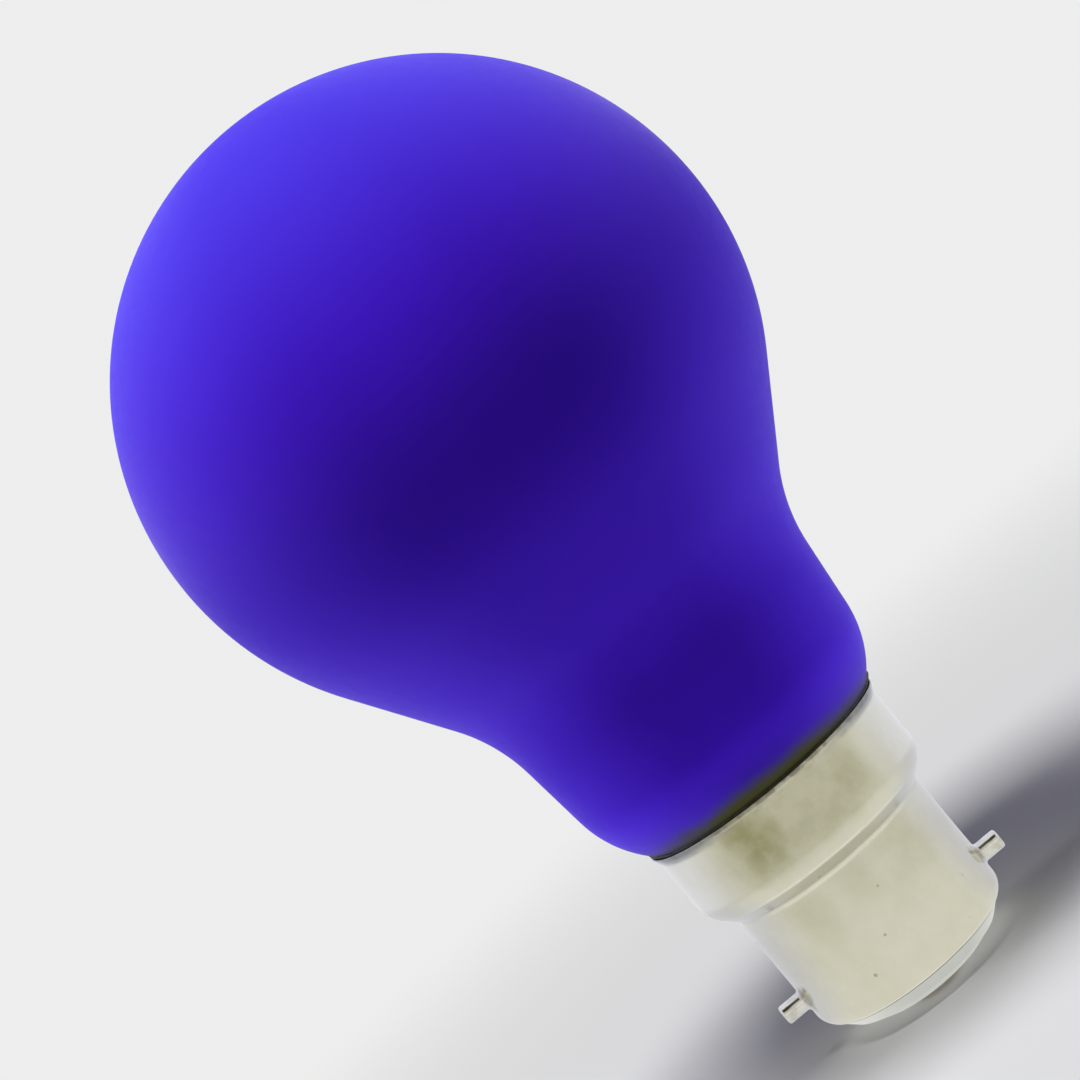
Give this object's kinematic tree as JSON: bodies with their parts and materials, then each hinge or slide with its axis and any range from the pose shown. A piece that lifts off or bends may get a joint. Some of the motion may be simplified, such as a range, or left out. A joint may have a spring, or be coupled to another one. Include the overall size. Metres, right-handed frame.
{
  "type": "led a-shape bulb",
  "caption": "Pear-shaped LED bulb with an opaque satin blue coated envelope, cemented into a stepped metal bayonet cap with side pins and soldered end contacts.",
  "frame": {"origin": "on the bulb's axis, in the plane of the end contacts' tips, where the cap meets its holder", "axes": "+Z along the axis from the cap to the globe's crown; X along the bayonet pins; Y along the line of the contacts"},
  "size_m": [0.062, 0.062, 0.1046],
  "materials": {
    "blue_coat": "opaque satin blue coat on blown glass",
    "dark_cement": "matt, dark olive",
    "cap_metal": "satin, slightly tarnished",
    "pin_metal": "nickel plated, bright",
    "insulator_plastic": "light grey, smooth",
    "contact_brass": "dull",
    "solder": "dull grey solder"
  },
  "bodies": {
    "root": {"bulb_envelope": "blue_coat", "basing_cement": "dark_cement", "cap_shell": "cap_metal", "bayonet_pin_left": "pin_metal", "bayonet_pin_right": "pin_metal", "cap_insulator": "insulator_plastic", "contact_plate_front": "contact_brass", "contact_plate_rear": "contact_brass", "contact_solder_front": "solder", "contact_solder_rear": "solder"}
  },
  "joints": []
}
